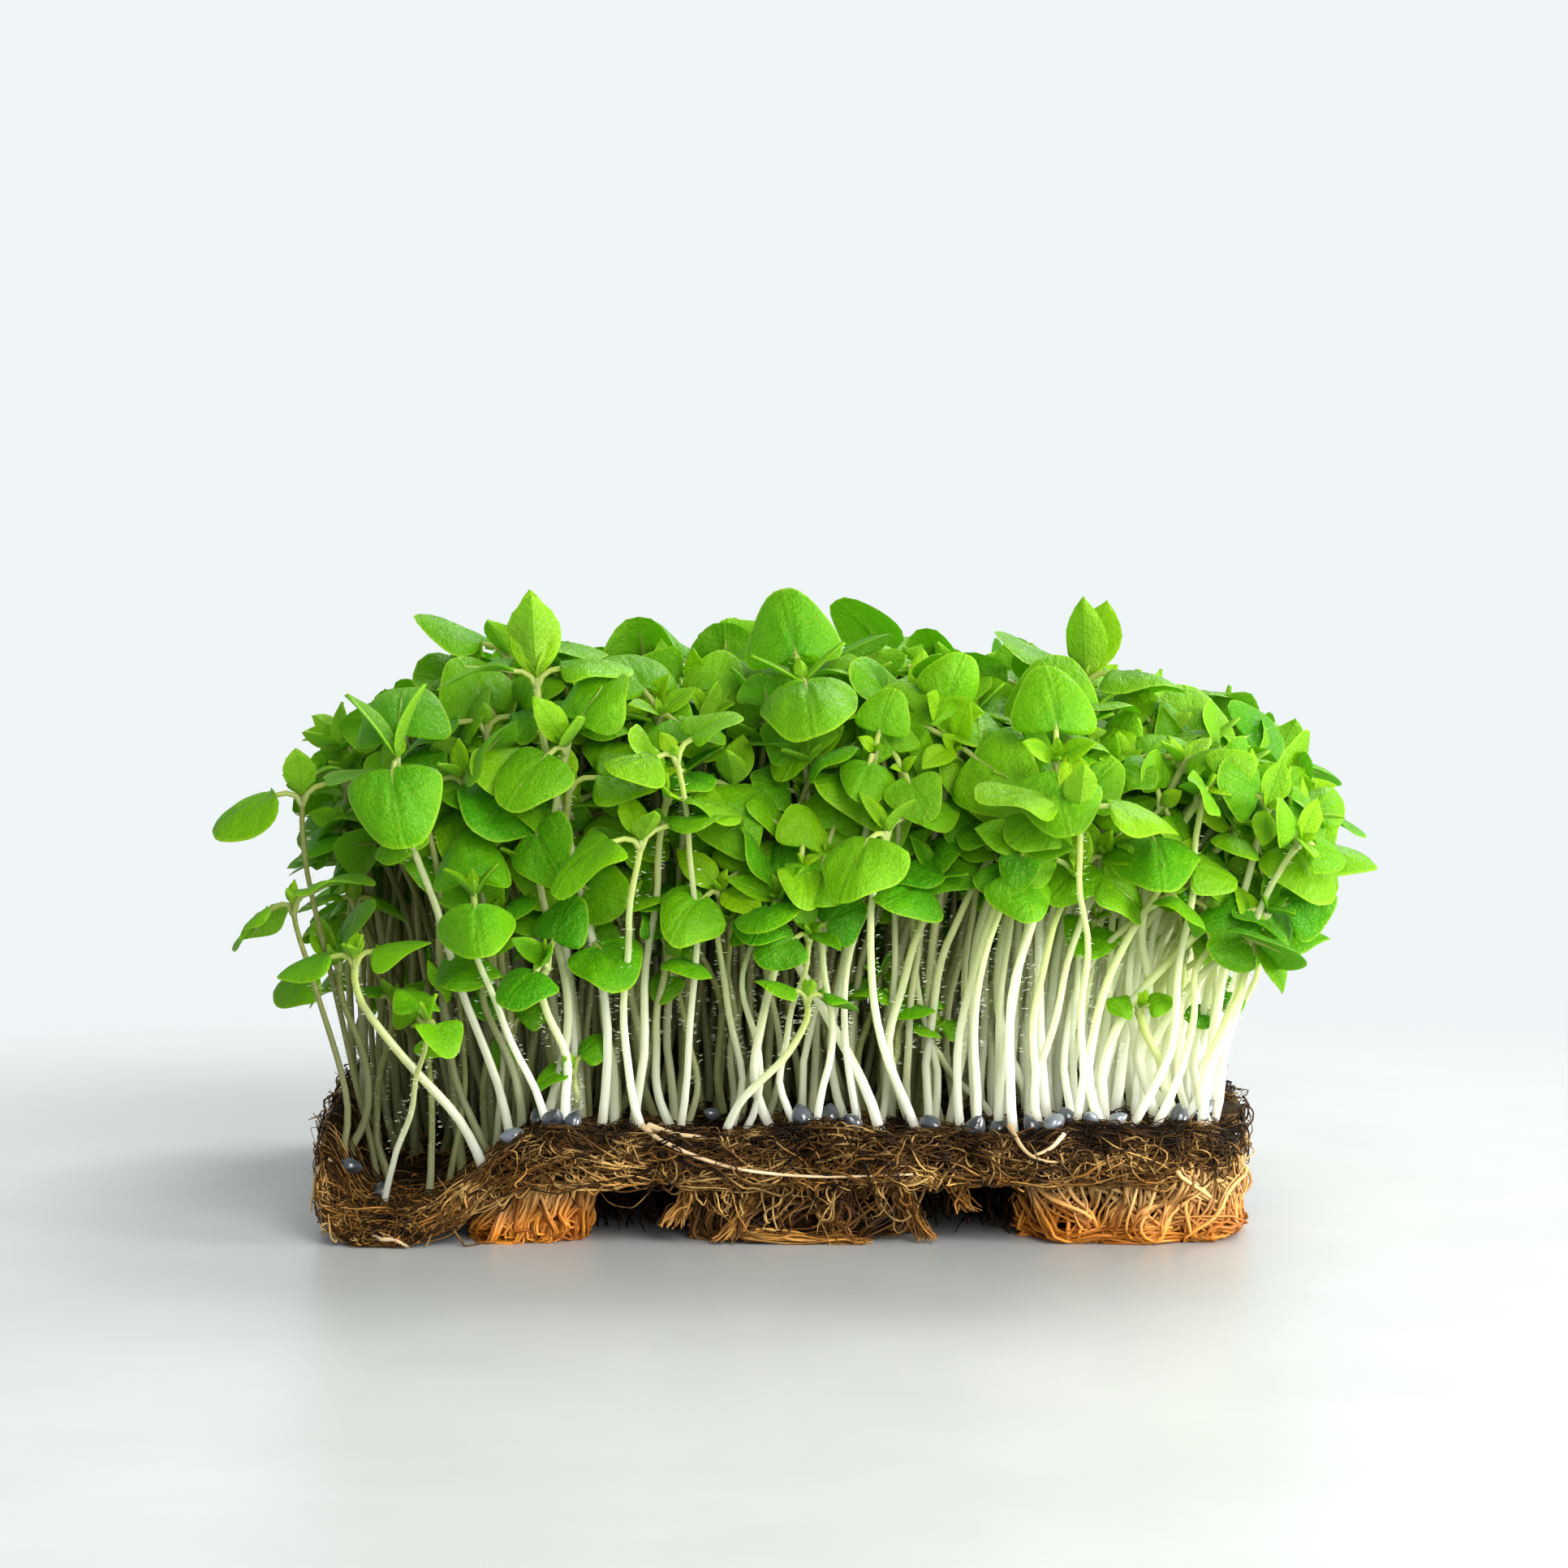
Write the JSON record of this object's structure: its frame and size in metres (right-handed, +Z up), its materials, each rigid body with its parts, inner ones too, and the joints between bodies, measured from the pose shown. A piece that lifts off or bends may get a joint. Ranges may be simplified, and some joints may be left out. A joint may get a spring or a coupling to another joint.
{
  "type": "microgreens block",
  "caption": "Block of leafy basil seedlings growing out of a fibre mat that stands on clumps of matted roots and turns up along one side.",
  "frame": {"origin": "on the table, at the middle of the centre root foot's flat sole, under the middle of the mat", "axes": "+X along the wide front of the mat, +Y away from the viewer, +Z up"},
  "size_m": [0.1315, 0.1077, 0.071],
  "materials": {
    "growing_mat": "matt dark fibre with paler strands",
    "roots": "damp orange-brown strands",
    "sprouts": "soft green leaves on pale stems"
  },
  "bodies": {
    "root": {"growing_mat": "growing_mat", "root_foot_back_left": "roots", "root_foot_back_middle": "roots", "root_foot_back_right": "roots", "root_foot_centre": "roots", "root_foot_front_left": "roots", "root_foot_front_middle": "roots", "root_foot_front_right": "roots", "sprouts_01": "sprouts", "sprouts_02": "sprouts", "sprouts_03": "sprouts", "sprouts_04": "sprouts", "sprouts_05": "sprouts", "sprouts_06": "sprouts", "sprouts_07": "sprouts", "sprouts_08": "sprouts", "sprouts_09": "sprouts", "sprouts_10": "sprouts", "sprouts_11": "sprouts", "sprouts_12": "sprouts", "sprouts_13": "sprouts", "sprouts_14": "sprouts", "sprouts_15": "sprouts", "sprouts_16": "sprouts", "sprouts_17": "sprouts", "sprouts_18": "sprouts", "sprouts_19": "sprouts", "sprouts_20": "sprouts", "sprouts_21": "sprouts", "sprouts_22": "sprouts", "sprouts_23": "sprouts", "sprouts_24": "sprouts", "sprouts_25": "sprouts", "sprouts_26": "sprouts", "sprouts_27": "sprouts", "sprouts_28": "sprouts", "sprouts_29": "sprouts", "sprouts_30": "sprouts", "sprouts_31": "sprouts", "sprouts_32": "sprouts", "sprouts_33": "sprouts", "sprouts_34": "sprouts", "sprouts_35": "sprouts", "sprouts_36": "sprouts", "sprouts_37": "sprouts", "sprouts_38": "sprouts", "sprouts_39": "sprouts", "sprouts_40": "sprouts", "sprouts_41": "sprouts", "sprouts_42": "sprouts", "sprouts_43": "sprouts", "sprouts_44": "sprouts", "sprouts_45": "sprouts", "sprouts_46": "sprouts", "sprouts_47": "sprouts", "sprouts_48": "sprouts", "sprouts_49": "sprouts", "sprouts_50": "sprouts"}
  },
  "joints": []
}
